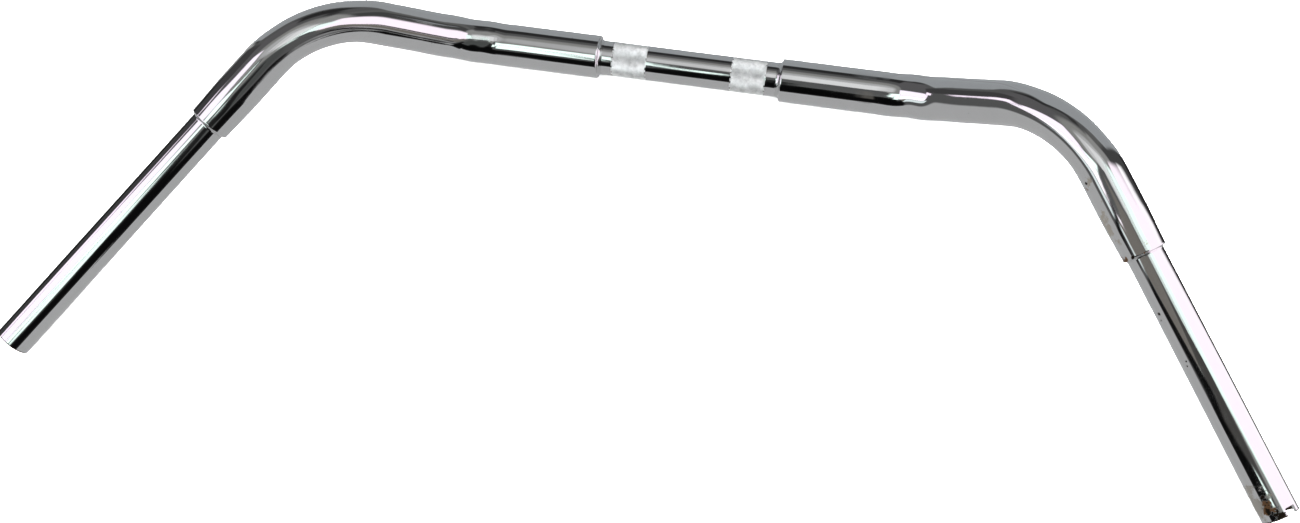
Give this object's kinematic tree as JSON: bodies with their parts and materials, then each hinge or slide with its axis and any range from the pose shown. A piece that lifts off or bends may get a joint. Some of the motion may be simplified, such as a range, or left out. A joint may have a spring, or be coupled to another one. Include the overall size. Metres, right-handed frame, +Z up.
{
  "type": "motorcycle handlebar",
  "caption": "Chrome stepped cruiser handlebar: knurled clamp tube, two swept fat tubes and slim open grip ends, one notched for a throttle sensor.",
  "frame": {"origin": "middle of the clamp tube, on its axis, midway between the two riser clamps", "axes": "+X to the rider's right, +Y forward, +Z up; the bar lies as on a table"},
  "size_m": [0.9042, 0.3066, 0.0924],
  "materials": {
    "chrome": "polished chrome plate over steel tube, frosted on the knurled bands, with light marks at the right end",
    "plated_weld": "ground and plated fillet weld"
  },
  "bodies": {
    "root": {"clamp_tube": "chrome", "left_fat_tube": "chrome", "right_fat_tube": "chrome", "left_grip_tube": "chrome", "right_grip_tube": "chrome", "left_inner_weld": "plated_weld", "right_inner_weld": "plated_weld", "left_outer_weld": "plated_weld", "right_outer_weld": "plated_weld"}
  },
  "joints": []
}
